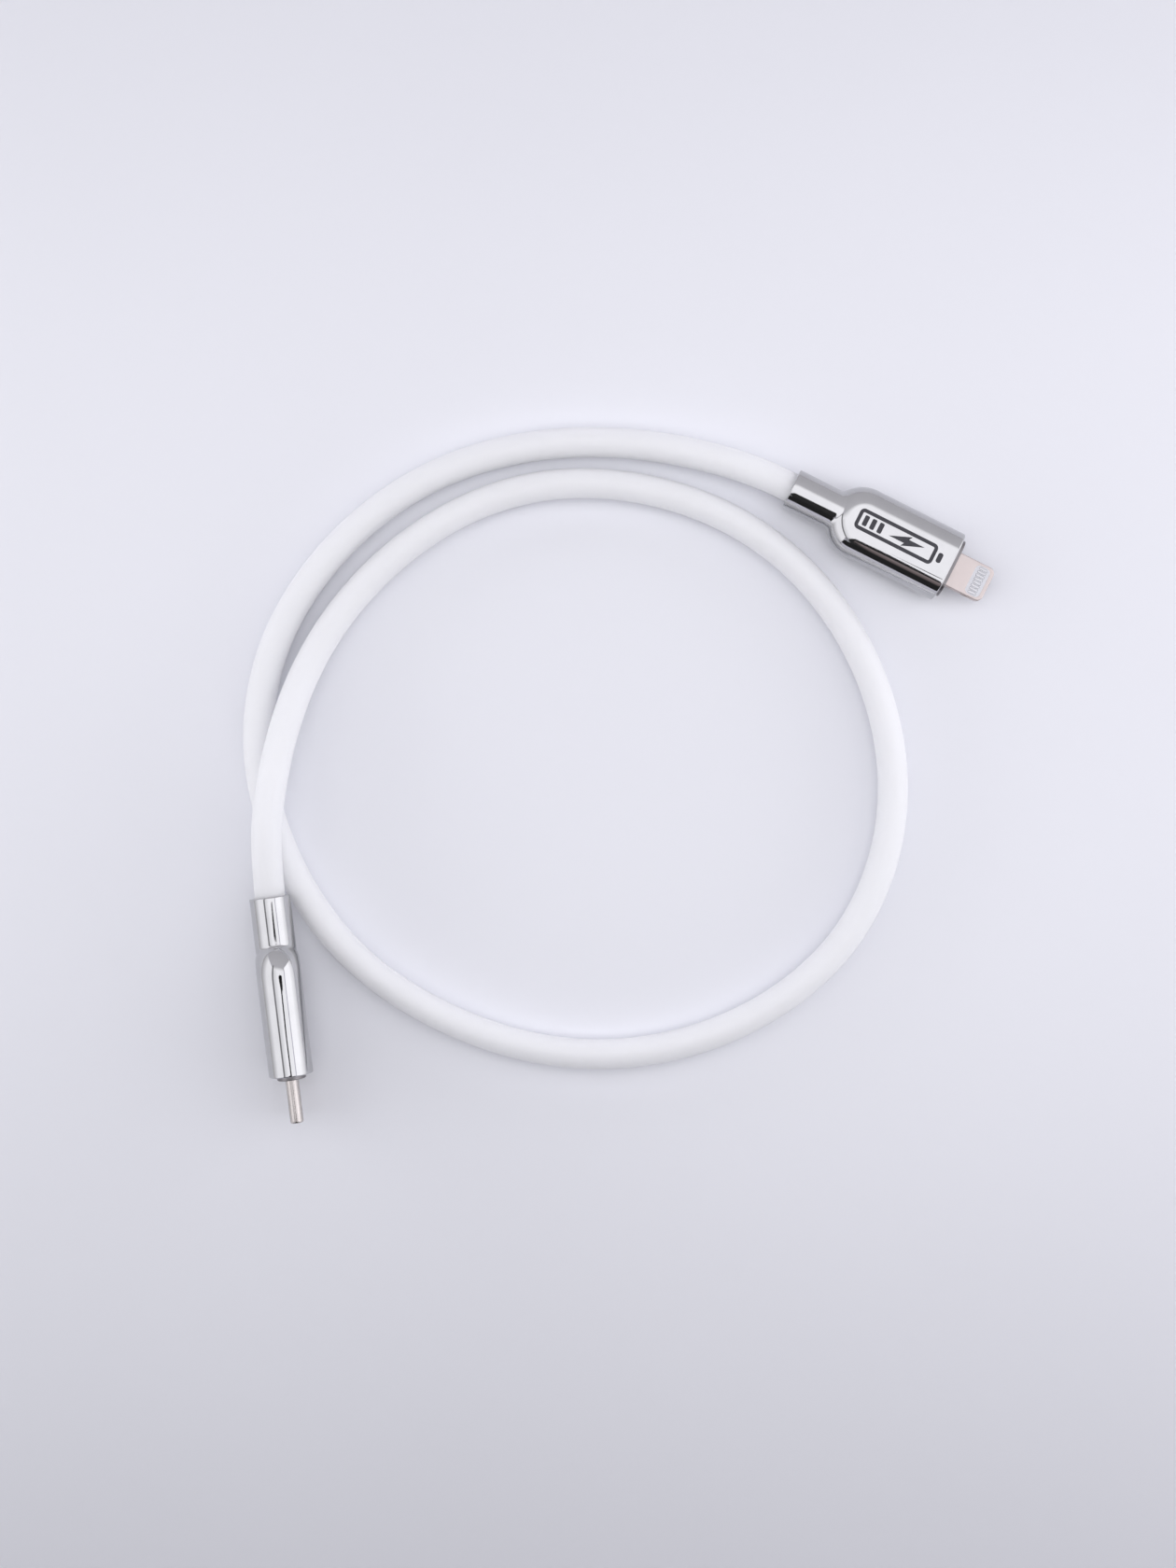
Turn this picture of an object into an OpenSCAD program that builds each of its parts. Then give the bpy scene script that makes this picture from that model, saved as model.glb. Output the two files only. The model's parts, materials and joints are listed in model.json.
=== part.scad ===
// Charging cable with a phone plug on one end and a charger plug on the other.
// The phone plug lies flat on the table. The charger plug stands on its narrow edge and
// leans over a little.
// Each plug is drawn in its own frame: +X from the neck's mouth to the tip, Y across
// the width and Z through the thickness, with the mouth's centre at the origin.

/* [Cable] */
// Outside diameter of the jacket
cable_d = 5.5; // [5.2:0.1:5.5]
// Bore of the jacket, which the core fills
jacket_bore_d = 3.3; // [3.3:0.1:3.6]
// Diameter of the bundled core
core_d = 3.1; // [2.9:0.1:3.1]

/* [Plug housings] */
// Width of a housing
plug_w = 13.4; // [13.2:0.1:14]
// Thickness of a housing
plug_t = 8; // [7.8:0.1:8.4]
// Length of a housing from the mouth of its neck to its front face
housing_l = 32.4; // [31:0.1:34]
// Outside diameter of the round neck
neck_d = 7.4; // [7.2:0.1:7.6]
// Wall between the cavity and the round edges
wall = 0.9; // [0.8:0.1:0.9]
// Wall between the cavity and the flat faces
flat_wall = 1.35; // [1.2:0.05:1.35]
// How far the collar stands out of the housing
collar_reach = 0.7; // [0.6:0.1:1.4]

/* [Phone plug] */
// Length of the tab that shows in front of the collar
tab_reach = 7.4; // [7:0.1:7.6]
// Width of the tab
tab_w = 6.7; // [6.6:0.05:6.8]
// Thickness of the tab
tab_t = 1.5; // [1.5:0.05:1.6]

/* [Charger plug] */
// Length of the steel shell that shows in front of the collar
shell_reach = 8; // [6.6:0.1:8]
// Width of the shell
shell_w = 8.25; // [8.2:0.05:8.3]
// Thickness of the shell
shell_t = 2.4; // [2.4:0.05:2.5]
// Wall of the shell
shell_wall = 0.25; // [0.2:0.01:0.25]

/* [Hidden] */

$fn = 64;
fit_gap = 0.05;   // clearance round a part that slides into its seat
cut = 1;          // how far a cutting shape runs past the face it opens
join = 0.1;       // how far two shapes of one solid run into each other

// Stations along a plug, from the mouth of the neck
jacket_end = 7;                       // the jacket butts on a shoulder here
core_end = 13.8;
cavity_start = 12.8;
board_start = 16.5;
collar_start = housing_l - 4.1;
collar_front = housing_l + collar_reach;
rear_centre = 14.5;                   // centre of the round rear end
tab_tip = collar_front + tab_reach;
shell_tip = collar_front + shell_reach;

// Sections of a plug
neck_bore_d = cable_d + 0.2;
stem_bore_d = 4.7;
stem_d = stem_bore_d - 2 * fit_gap;
channel_d = 3.9;
crimp_d = 3.8;
cavity_w = plug_w - 2 * wall - 0.4;
cavity_t = plug_t - 2 * flat_wall;
seat_w = cavity_w - 2 * fit_gap;
seat_t = cavity_t - 2 * fit_gap;
board_t = 0.6;

// Tab of the phone plug
tab_start = collar_start - 0.8;
tab_corner_r = 1.2;
tab_notch_r = 1;
tab_notch_depth = 0.4;
tab_notch_h = 0.95;                   // the notch is a pocket in the side edge
tab_notch_back = 3.1;                 // from the tip to the middle of the notch
window_w = 5.8;
window_l = 3;
window_corner_r = 0.9;
window_front = tab_tip - 0.7;
window_rear = window_front - window_l;
insert_gap = 0.02;
tongue_w = 4.9;
tongue_slot_w = 5.1;
tongue_slot_t = 0.7;
contact_count = 8;
contact_pitch = 0.67;
contact_w = 0.42;
contact_l = 1.6;
contact_front = window_front - 0.7;
contact_t = 0.12;

// Mouth of the charger plug
shell_start = collar_start - 7;
insulator_start = shell_start + 4.6;
insulator_front = shell_tip - 0.4;
insulator_gap = 0.025;
slot_w = 6.75;
slot_t = 0.9;
strip_count = 12;
strip_pitch = 0.5;
strip_w = 0.25;
strip_t = 0.15;
strip_front = shell_tip - 2;
plate_t = 0.2;
latch_start = shell_tip - 7.5;
latch_front = shell_tip - 1.4;
latch_inner_y = 3.42;
latch_outer_y = 3.62;
latch_hook_y = 3.1;
latch_hook_l = 0.7;
latch_h = 0.7;
charger_board_end = insulator_start - 0.1;

// Where the plugs lie: centre of the neck's mouth, and turn about Z
phone_mouth = [30.93, 56.34, plug_t / 2];
phone_turn = -26.8;
charger_roll = 10;                    // it leans this far over towards +X
charger_height = plug_t / 2 + (plug_w - plug_t) / 2 * cos(charger_roll);
charger_mouth = [-64.84, -18.9, charger_height];
charger_turn = -83;

// A point on a neck's axis, at a distance u in from the mouth
function neck_point(mouth, turn, u) = mouth + u * [cos(turn), sin(turn), 0];

// The cable's route, as the control points of a smooth curve. It leaves the phone plug,
// lies once round the loop, passes under itself and over itself beside the charger plug.
rest_z = 2.75;
loose_route = [
  [2.5, 65.5, rest_z], [-18.5, 65, rest_z], [-38.5, 58.5, rest_z], [-55, 45, rest_z],
  [-66, 27.5, rest_z], [-69, 7, rest_z], [-63, -13.5, rest_z], [-51, -31, rest_z],
  [-33, -42.5, rest_z], [-12.5, -49, rest_z], [8.5, -48, rest_z], [28.5, -40, rest_z],
  [44, -25.5, rest_z], [51, -5, rest_z], [49, 16, rest_z], [39.5, 35.5, rest_z],
  [24, 50, rest_z], [4, 57.5, rest_z], [-17, 58, rest_z], [-35, 50.5, rest_z],
  [-49, 38.5, rest_z], [-57.5, 26, 3.7], [-62, 13.5, 6.6], [-64, 3.5, 8.2],
  [-65, -4, 8.6], [-65.2, -10, 8.3], [-65, -15, 7.1]
];
jacket_route = concat(
  [neck_point(phone_mouth, phone_turn, jacket_end)],
  [neck_point(phone_mouth, phone_turn, 0.5)],
  [neck_point(phone_mouth, phone_turn, -9.5)],
  loose_route,
  [neck_point(charger_mouth, charger_turn, 0.5)],
  [neck_point(charger_mouth, charger_turn, jacket_end)]
);
// The core runs on past each end of the jacket, along the neck
core_run = 2 * jacket_end - 0.5;
core_route = concat(
  [neck_point(phone_mouth, phone_turn, core_run)],
  jacket_route,
  [neck_point(charger_mouth, charger_turn, core_run)]
);
rings_per_span = 2.4;
jacket_sides = 12;
core_sides = 8;

// Uniform cubic B-spline through a list of control points, from its first to its last
function with_ends(p) = concat(
  [2 * p[0] - p[1]], p, [2 * p[len(p) - 1] - p[len(p) - 2]]
);
function blend(p, i, u) =
  (pow(1 - u, 3) * p[i] + (3 * pow(u, 3) - 6 * pow(u, 2) + 4) * p[i + 1]
   + (3 * u + 3 * pow(u, 2) - 3 * pow(u, 3) + 1) * p[i + 2] + pow(u, 3) * p[i + 3]) / 6;
function slope(p, i, u) =
  (-pow(1 - u, 2) * p[i] + (3 * pow(u, 2) - 4 * u) * p[i + 1]
   + (1 + 2 * u - 3 * pow(u, 2)) * p[i + 2] + pow(u, 2) * p[i + 3]) / 2;
function unit(v) = v / norm(v);
function span_of(p, t) = min(floor(t), len(p) - 4);

// A ring of points round the curve at parameter t
function ring(p, t, r, sides) =
  let (i = span_of(p, t), u = t - i, at = blend(p, i, u), ahead = unit(slope(p, i, u)),
       side = unit(cross([0, 0, 1], ahead)), up = cross(ahead, side))
  [for (k = [0 : sides - 1])
    at + r * (cos(360 * k / sides) * side + sin(360 * k / sides) * up)];

function tube_points(p, rings, r, sides) = [
  for (j = [0 : rings]) each ring(p, j * (len(p) - 3) / rings, r, sides)
];
function wall_faces(rings, sides, first, flip) = [
  for (j = [0 : rings - 1], k = [0 : sides - 1])
    let (a = first + j * sides + k, b = first + j * sides + (k + 1) % sides,
         face = [a, b, b + sides, a + sides])
    flip ? [face[3], face[2], face[1], face[0]] : face
];

module solid_sweep(route, r, sides) {
  p = with_ends(route);
  rings = round((len(route) - 1) * rings_per_span);
  start_cap = [[for (k = [0 : sides - 1]) sides - 1 - k]];
  end_cap = [[for (k = [0 : sides - 1]) rings * sides + k]];
  polyhedron(
    points = tube_points(p, rings, r, sides),
    faces = concat(wall_faces(rings, sides, 0, false), start_cap, end_cap),
    convexity = 10
  );
}

module hollow_sweep(route, outer_r, inner_r, sides) {
  p = with_ends(route);
  rings = round((len(route) - 1) * rings_per_span);
  inner = (rings + 1) * sides;   // number of the first point of the inner wall
  last = rings * sides;
  start_rim = [for (k = [0 : sides - 1])
    let (n = (k + 1) % sides) [k, inner + k, inner + n, n]];
  end_rim = [for (k = [0 : sides - 1])
    let (n = (k + 1) % sides)
    [last + n, inner + last + n, inner + last + k, last + k]];
  polyhedron(
    points = concat(tube_points(p, rings, outer_r, sides), tube_points(p, rings, inner_r, sides)),
    faces = concat(wall_faces(rings, sides, 0, false), wall_faces(rings, sides, inner, true),
                   start_rim, end_rim),
    convexity = 10
  );
}

module place_phone_plug() {
  translate(phone_mouth) rotate([0, 0, phone_turn]) children();
}

module place_charger_plug() {
  translate(charger_mouth) rotate([0, 0, charger_turn]) rotate([-90 - charger_roll, 0, 0])
    children();
}

// A slab with full-round long edges, seen end on
module oval(w, t) {
  square([w - t, t], center = true);
  for (side = [-1, 1])
    translate([side * (w - t) / 2, 0]) circle(d = t);
}

// An oval bar along X from station u0 to u1
module oval_bar(w, t, u0, u1) {
  translate([u0, 0, 0]) rotate([90, 0, 90]) linear_extrude(u1 - u0) oval(w, t);
}

// A round bar along X from station u0 to u1, its axis at y and z
module round_bar(d, u0, u1, y = 0, z = 0) {
  translate([u0, y, z]) rotate([0, 90, 0]) cylinder(d = d, h = u1 - u0);
}

// A box along X from station u0 to u1, centred on the plug's axis
module box_bar(w, t, u0, u1, y = 0, z = 0) {
  translate([u0, y - w / 2, z - t / 2]) cube([u1 - u0, w, t]);
}

// A flat rectangle from station u0 to u1 with round corners
module round_window(w, u0, u1, r) {
  translate([u0 + r, -w / 2]) square([u1 - u0 - 2 * r, w]);
  translate([u0, -w / 2 + r]) square([u1 - u0, w - 2 * r]);
  for (u = [u0 + r, u1 - r], side = [-1, 1])
    translate([u, side * (w / 2 - r)]) circle(r = r);
}

// Cast housing: a round neck runs into an oval body with a round rear end
module plug_housing() {
  difference() {
    union() {
      round_bar(neck_d, 0, rear_centre - 2);
      oval_bar(plug_w, plug_t, rear_centre, housing_l);
      translate([rear_centre, 0, 0]) rotate([0, 0, 90]) rotate_extrude(angle = 180)
        intersection() {
          oval(plug_w, plug_t);
          translate([0, -plug_t]) square([plug_w, 2 * plug_t]);
        }
    }
    round_bar(neck_bore_d, -cut, jacket_end);
    round_bar(stem_bore_d, jacket_end - join, cavity_start + join);
    oval_bar(cavity_w, cavity_t, cavity_start, housing_l + cut);
  }
}

// Moulding that fills the housing, with a channel for the wires and a pocket for the board
module inner_mould(pocket_w, pocket_t) {
  difference() {
    union() {
      round_bar(stem_d, jacket_end, cavity_start + join);
      oval_bar(seat_w, seat_t, cavity_start + fit_gap, collar_start);
    }
    round_bar(channel_d, jacket_end - cut, board_start);
    box_bar(pocket_w, pocket_t, board_start - fit_gap, collar_start + cut);
  }
}

module crimp_ring() {
  difference() {
    round_bar(crimp_d, 9, 12);
    round_bar(core_d + 0.1, 9 - cut, 12 + cut);
  }
}

// One insulated wire from the core's end to a pad on the board
wire_d = 0.8;
wire_y = 0.7;
wire_pad_l = 1.8;
module wire(side, face) {
  round_bar(wire_d, core_end, board_start + wire_pad_l, side * wire_y,
            face * (board_t + wire_d) / 2);
}

// A chip on one face of the board
module chip(w, h, u0, u1, y = 0, face = 1) {
  box_bar(w, h, u0, u1, y, face * (board_t + h) / 2);
}

module cable_jacket() {
  color("white") hollow_sweep(jacket_route, cable_d / 2, jacket_bore_d / 2, jacket_sides);
}

module cable_core() {
  color("gainsboro") solid_sweep(core_route, core_d / 2, core_sides);
}

module phone_plug_housing() {
  color("silver") place_phone_plug() plug_housing();
}

module phone_plug_collar() {
  color("dimgray") place_phone_plug() difference() {
    oval_bar(seat_w, seat_t, collar_start, collar_front);
    box_bar(tab_w, tab_t, collar_start - cut, collar_front + cut);
  }
}

module tab_outline() {
  difference() {
    union() {
      translate([tab_start, -tab_w / 2]) square([tab_tip - tab_corner_r - tab_start, tab_w]);
      translate([tab_start, tab_corner_r - tab_w / 2])
        square([tab_tip - tab_start, tab_w - 2 * tab_corner_r]);
      for (side = [-1, 1])
        translate([tab_tip - tab_corner_r, side * (tab_w / 2 - tab_corner_r)])
          circle(r = tab_corner_r);
    }
    round_window(window_w, window_rear, window_front, window_corner_r);
  }
}

module phone_plug_tab() {
  color("mistyrose") place_phone_plug() difference() {
    translate([0, 0, -tab_t / 2]) linear_extrude(tab_t) tab_outline();
    for (side = [-1, 1])
      translate([tab_tip - tab_notch_back, side * (tab_w / 2 + tab_notch_r - tab_notch_depth),
                 -tab_notch_h / 2])
        cylinder(r = tab_notch_r, h = tab_notch_h);
    box_bar(tongue_slot_w, tongue_slot_t, tab_start - cut, window_rear + window_corner_r);
  }
}

// The row of contacts on one face of the tab, as solids or as the seats that hold them
module tab_contacts(face, depth) {
  for (i = [0 : contact_count - 1])
    box_bar(contact_w, depth, contact_front - contact_l, contact_front,
            (i - (contact_count - 1) / 2) * contact_pitch, face * (tab_t - depth) / 2);
}

module phone_plug_contact_insert() {
  color("whitesmoke") place_phone_plug() difference() {
    translate([0, 0, -tab_t / 2]) linear_extrude(tab_t)
      round_window(window_w - 2 * insert_gap, window_rear + insert_gap,
                   window_front - insert_gap, window_corner_r - insert_gap);
    tab_contacts(1, contact_t);
    tab_contacts(-1, contact_t);
  }
}

module phone_plug_upper_contacts() {
  color("lightgray") place_phone_plug() tab_contacts(1, contact_t);
}

module phone_plug_lower_contacts() {
  color("lightgray") place_phone_plug() tab_contacts(-1, contact_t);
}

module phone_plug_circuit_board() {
  color("seagreen") place_phone_plug() {
    box_bar(6, board_t, board_start, tab_start - 0.2);
    box_bar(tongue_w, board_t, tab_start - 0.2 - join, window_rear);
  }
}

module phone_plug_control_chip() {
  color("black") place_phone_plug() chip(2.6, 0.8, board_start + 2.6, board_start + 5.6);
}

module phone_plug_power_chip() {
  color("black") place_phone_plug() chip(1.8, 0.7, board_start + 7, board_start + 9);
}

module phone_plug_capacitors() {
  color("tan") place_phone_plug()
    for (i = [0 : 2])
      chip(0.5, 0.5, board_start + 3.2 + i * 2, board_start + 4.2 + i * 2, face = -1);
}

module phone_plug_inner_mould() {
  color("ivory") place_phone_plug() inner_mould(7.4, 2.8);
}

module phone_plug_crimp_ring() {
  color("goldenrod") place_phone_plug() crimp_ring();
}

module phone_plug_power_wire() {
  color("red") place_phone_plug() wire(1, 1);
}

module phone_plug_ground_wire() {
  color("black") place_phone_plug() wire(-1, 1);
}

module phone_plug_data_wires() {
  color("green") place_phone_plug() for (side = [-1, 1]) wire(side, -1);
}

module charger_plug_housing() {
  color("silver") place_charger_plug() plug_housing();
}

module charger_plug_collar() {
  color("dimgray") place_charger_plug() difference() {
    oval_bar(seat_w, seat_t, collar_start, collar_front);
    oval_bar(shell_w, shell_t, collar_start - cut, collar_front + cut);
  }
}

module charger_plug_shell() {
  color("lightgray") place_charger_plug() difference() {
    oval_bar(shell_w, shell_t, shell_start, shell_tip);
    oval_bar(shell_w - 2 * shell_wall, shell_t - 2 * shell_wall, shell_start - cut,
             shell_tip + cut);
  }
}

// The insulator lines the shell. Side pockets leave room for the sprung latches.
module charger_plug_insulator() {
  lining = shell_wall + insulator_gap;
  color("black") place_charger_plug() difference() {
    oval_bar(shell_w - 2 * lining, shell_t - 2 * lining, insulator_start, insulator_front);
    box_bar(slot_w, slot_t, insulator_start - cut, insulator_front + cut);
    for (side = [-1, 1])
      box_bar(1, slot_t, latch_start - fit_gap, latch_front + 0.4, side * (slot_w / 2 + 0.4));
  }
}

// The row of contact strips on one side of the slot
module charger_contacts(face) {
  for (i = [0 : strip_count - 1])
    box_bar(strip_w, strip_t, charger_board_end - 2, strip_front,
            (i - (strip_count - 1) / 2) * strip_pitch, face * (slot_t - strip_t) / 2);
}

module charger_plug_upper_contacts() {
  color("gold") place_charger_plug() charger_contacts(1);
}

module charger_plug_lower_contacts() {
  color("gold") place_charger_plug() charger_contacts(-1);
}

module charger_plug_mid_plate() {
  color("lightsteelblue") place_charger_plug()
    box_bar(slot_w, plate_t, insulator_start + join, latch_start - 0.1);
}

// A sprung arm beside the slot, with a hook that grips the socket's tongue
module latch(side) {
  box_bar(latch_outer_y - latch_inner_y, latch_h, latch_start, latch_front,
          side * (latch_outer_y + latch_inner_y) / 2);
  box_bar(latch_outer_y - latch_hook_y, latch_h, latch_front - latch_hook_l, latch_front,
          side * (latch_outer_y + latch_hook_y) / 2);
}

module charger_plug_left_latch() {
  color("lightsteelblue") place_charger_plug() latch(1);
}

module charger_plug_right_latch() {
  color("lightsteelblue") place_charger_plug() latch(-1);
}

module charger_plug_ground_springs() {
  color("silver") place_charger_plug()
    for (face = [-1, 1])
      box_bar(5.2, join, strip_front + 0.3, strip_front + 1.2, 0, face * (slot_t - join) / 2);
}

module charger_plug_circuit_board() {
  color("seagreen") place_charger_plug()
    box_bar(6.4, board_t, board_start, charger_board_end);
}

module charger_plug_marker_chip() {
  color("black") place_charger_plug() chip(2, 0.7, board_start + 2.2, board_start + 4.2);
}

module charger_plug_resistors() {
  color("dimgray") place_charger_plug()
    for (side = [-1, 1])
      chip(0.5, 0.4, board_start + 2.6, board_start + 3.6, side * 1.2, -1);
}

module charger_plug_inner_mould() {
  color("ivory") place_charger_plug() inner_mould(shell_w + 0.15, shell_t + 0.15);
}

module charger_plug_crimp_ring() {
  color("goldenrod") place_charger_plug() crimp_ring();
}

module charger_plug_power_wire() {
  color("red") place_charger_plug() wire(1, 1);
}

module charger_plug_ground_wire() {
  color("black") place_charger_plug() wire(-1, 1);
}

module charger_plug_data_wires() {
  color("green") place_charger_plug() for (side = [-1, 1]) wire(side, -1);
}

cable_jacket();
cable_core();
phone_plug_housing();
phone_plug_collar();
phone_plug_tab();
phone_plug_contact_insert();
phone_plug_upper_contacts();
phone_plug_lower_contacts();
phone_plug_circuit_board();
phone_plug_control_chip();
phone_plug_power_chip();
phone_plug_capacitors();
phone_plug_inner_mould();
phone_plug_crimp_ring();
phone_plug_power_wire();
phone_plug_ground_wire();
phone_plug_data_wires();
charger_plug_housing();
charger_plug_collar();
charger_plug_shell();
charger_plug_insulator();
charger_plug_upper_contacts();
charger_plug_lower_contacts();
charger_plug_mid_plate();
charger_plug_left_latch();
charger_plug_right_latch();
charger_plug_ground_springs();
charger_plug_circuit_board();
charger_plug_marker_chip();
charger_plug_resistors();
charger_plug_inner_mould();
charger_plug_crimp_ring();
charger_plug_power_wire();
charger_plug_ground_wire();
charger_plug_data_wires();
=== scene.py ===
import json
import math

import bpy
from mathutils import Matrix, Vector


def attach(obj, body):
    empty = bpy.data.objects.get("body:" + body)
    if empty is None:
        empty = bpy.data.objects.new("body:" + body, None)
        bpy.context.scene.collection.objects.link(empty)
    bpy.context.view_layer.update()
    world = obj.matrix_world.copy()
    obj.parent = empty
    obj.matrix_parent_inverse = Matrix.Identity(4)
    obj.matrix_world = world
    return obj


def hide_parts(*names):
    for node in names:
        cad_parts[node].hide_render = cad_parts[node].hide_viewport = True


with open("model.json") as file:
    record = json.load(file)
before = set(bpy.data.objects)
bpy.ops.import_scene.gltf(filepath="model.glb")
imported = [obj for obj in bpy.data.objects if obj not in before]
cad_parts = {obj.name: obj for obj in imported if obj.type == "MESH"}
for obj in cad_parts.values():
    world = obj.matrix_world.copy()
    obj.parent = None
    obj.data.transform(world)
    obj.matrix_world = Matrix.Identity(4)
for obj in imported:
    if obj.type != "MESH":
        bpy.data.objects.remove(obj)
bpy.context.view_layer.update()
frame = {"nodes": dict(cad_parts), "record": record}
nodes = frame["nodes"]
record = frame["record"]
BODY = "cable"
MM = 0.001

# ---------------------------------------------------------------- plugs' own frames
FRAME_TO_MOUNT = 32.8      # mm from a plug frame's origin to the collar's front, its mount
MOUTH = -0.3               # where a neck's mouth lies along its plug's frame


def mount(name):
    return next(m for m in record["mounts"] if m["name"] == name)


def joint(name):
    return next(j for j in record["behaviour"]["joints"] if j["name"] == name)


def plug_matrix(mount_name, up):
    """A plug's own frame in mm: X from the neck's mouth to the tip, Z through the flats."""
    m = mount(mount_name)
    x = Vector(m["axis"]).normalized()
    z = (Vector(up) - Vector(up).dot(x) * x).normalized()
    y = z.cross(x)
    origin = Vector(m["pos_m"]) - x * FRAME_TO_MOUNT * MM
    turn = Matrix((x, y, z)).transposed().to_4x4()
    return Matrix.Translation(origin) @ turn @ Matrix.Scale(MM, 4)


PHONE = plug_matrix("phone_plug_tab", (0, 0, 1))
CHARGER = plug_matrix("charger_plug_shell", joint("left_latch_spring")["axis"])

# ---------------------------------------------------------------- camera, looking straight down
LENS, SENSOR = 40.95, 36   # mm
CAMERA_AT = (-0.006585, 0.001755, 0.333)
camera_data = bpy.data.cameras.new("camera")
camera_data.lens = LENS
camera_data.sensor_width = SENSOR
camera_data.clip_start = 0.01
camera = bpy.data.objects.new("camera", camera_data)
camera.location = CAMERA_AT
bpy.context.scene.collection.objects.link(camera)
bpy.context.scene.camera = camera
bpy.context.scene.view_settings.view_transform = "Standard"

# ---------------------------------------------------------------- the cable's route
CABLE_D = 5.5
REST_Z = 2.75
JACKET_END = 7             # mm that the jacket reaches in from each neck's mouth
LOOSE_ROUTE = [            # control points in mm, as in the CAD part
    (2.5, 65.5, REST_Z), (-18.5, 65, REST_Z), (-38.5, 58.5, REST_Z), (-55, 45, REST_Z),
    (-66, 27.5, REST_Z), (-69, 7, REST_Z), (-63, -13.5, REST_Z), (-51, -31, REST_Z),
    (-33, -42.5, REST_Z), (-12.5, -49, REST_Z), (8.5, -48, REST_Z), (28.5, -40, REST_Z),
    (44, -25.5, REST_Z), (51, -5, REST_Z), (49, 16, REST_Z), (39.5, 35.5, REST_Z),
    (24, 50, REST_Z), (4, 57.5, REST_Z), (-17, 58, REST_Z), (-35, 50.5, REST_Z),
    (-49, 38.5, REST_Z), (-57.5, 26, 3.7), (-62, 13.5, 6.6), (-64, 3.5, 8.2),
    (-65, -4, 8.6), (-65.2, -10, 8.3), (-65, -15, 7.1)]


def neck_point(plug, u):
    """A point on a neck's axis in mm, u mm in from its mouth."""
    return (plug @ Vector((MOUTH + u, 0, 0))) / MM


def spline_points(control):
    """Bezier knots and handles of the uniform cubic B-spline that the CAD part sweeps."""
    p = [2 * control[0] - control[1], *control, 2 * control[-1] - control[-2]]
    knots = []
    for i in range(1, len(p) - 1):
        at = (p[i - 1] + 4 * p[i] + p[i + 1]) / 6
        back = (2 * p[i] + p[i - 1]) / 3
        ahead = (2 * p[i] + p[i + 1]) / 3
        knots.append((at, back, ahead))
    return knots


def cable_curve():
    route = [neck_point(PHONE, u) for u in (JACKET_END, 0.5, -9.5)]
    route += [Vector(p) for p in LOOSE_ROUTE]
    route += [neck_point(CHARGER, u) for u in (0.5, JACKET_END)]
    route.reverse()                      # from the charger plug to the phone plug
    knots = spline_points(route)
    data = bpy.data.curves.new("charging_cord", "CURVE")
    data.dimensions = "3D"
    data.resolution_u = 24
    data.bevel_depth = CABLE_D / 2 * MM
    data.bevel_resolution = 12
    data.use_fill_caps = True
    spline = data.splines.new("BEZIER")
    spline.bezier_points.add(len(knots) - 1)
    for point, (at, back, ahead) in zip(spline.bezier_points, knots):
        point.handle_left_type = point.handle_right_type = "FREE"
        point.co = at * MM
        point.handle_left = back * MM
        point.handle_right = ahead * MM
    return data


# ---------------------------------------------------------------- material helpers
def new_material(name):
    m = bpy.data.materials.new(name)
    m.use_nodes = True
    tree = m.node_tree
    return m, tree, tree.nodes["Principled BSDF"]


def node(tree, kind, **settings):
    n = tree.nodes.new(kind)
    for key, value in settings.items():
        if key in n.inputs:
            n.inputs[key].default_value = value
        else:
            setattr(n, key, value)
    return n


def noise(tree, scale, detail=3, stretch=(1, 1, 1)):
    """Noise over the piece in object space, scale in grains per metre."""
    at = node(tree, "ShaderNodeTexCoord")
    turn = node(tree, "ShaderNodeMapping", Scale=stretch)
    n = node(tree, "ShaderNodeTexNoise", Scale=scale, Detail=detail)
    tree.links.new(at.outputs["Object"], turn.inputs["Vector"])
    tree.links.new(turn.outputs["Vector"], n.inputs["Vector"])
    return n.outputs["Fac"]


def ramp(tree, factor, stops):
    """A colour ramp; stops are (position, (r, g, b)) or (position, grey)."""
    r = node(tree, "ShaderNodeValToRGB")
    elements = r.color_ramp.elements
    while len(elements) < len(stops):
        elements.new(0.5)
    for element, (position, colour) in zip(elements, stops):
        rgb = (colour,) * 3 if isinstance(colour, (int, float)) else colour
        element.position = position
        element.color = (*rgb, 1)
    tree.links.new(factor, r.inputs["Fac"])
    return r.outputs["Color"]


def bump(tree, shader, height, strength, distance):
    b = node(tree, "ShaderNodeBump", Strength=strength, Distance=distance)
    tree.links.new(height, b.inputs["Height"])
    tree.links.new(b.outputs["Normal"], shader.inputs["Normal"])


def shade(colour, factor):
    return tuple(min(1.0, c * factor) for c in colour)


def moulded(name, colour, roughness, grain=4000, spread=0.06, depth=0.00002, coat=0):
    """Moulded plastic or rubber: faint mottling, fine texture in the surface."""
    m, tree, shader = new_material(name)
    tone = noise(tree, grain / 12, 4)
    colours = ramp(tree, tone, [(0.3, shade(colour, 1 - spread)), (0.7, shade(colour, 1 + spread))])
    tree.links.new(colours, shader.inputs["Base Color"])
    gloss = ramp(tree, noise(tree, grain / 5, 3), [(0.3, roughness - 0.06), (0.7, roughness + 0.06)])
    tree.links.new(gloss, shader.inputs["Roughness"])
    bump(tree, shader, noise(tree, grain, 4), 0.3, depth)
    shader.inputs["Coat Weight"].default_value = coat
    return m


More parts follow.
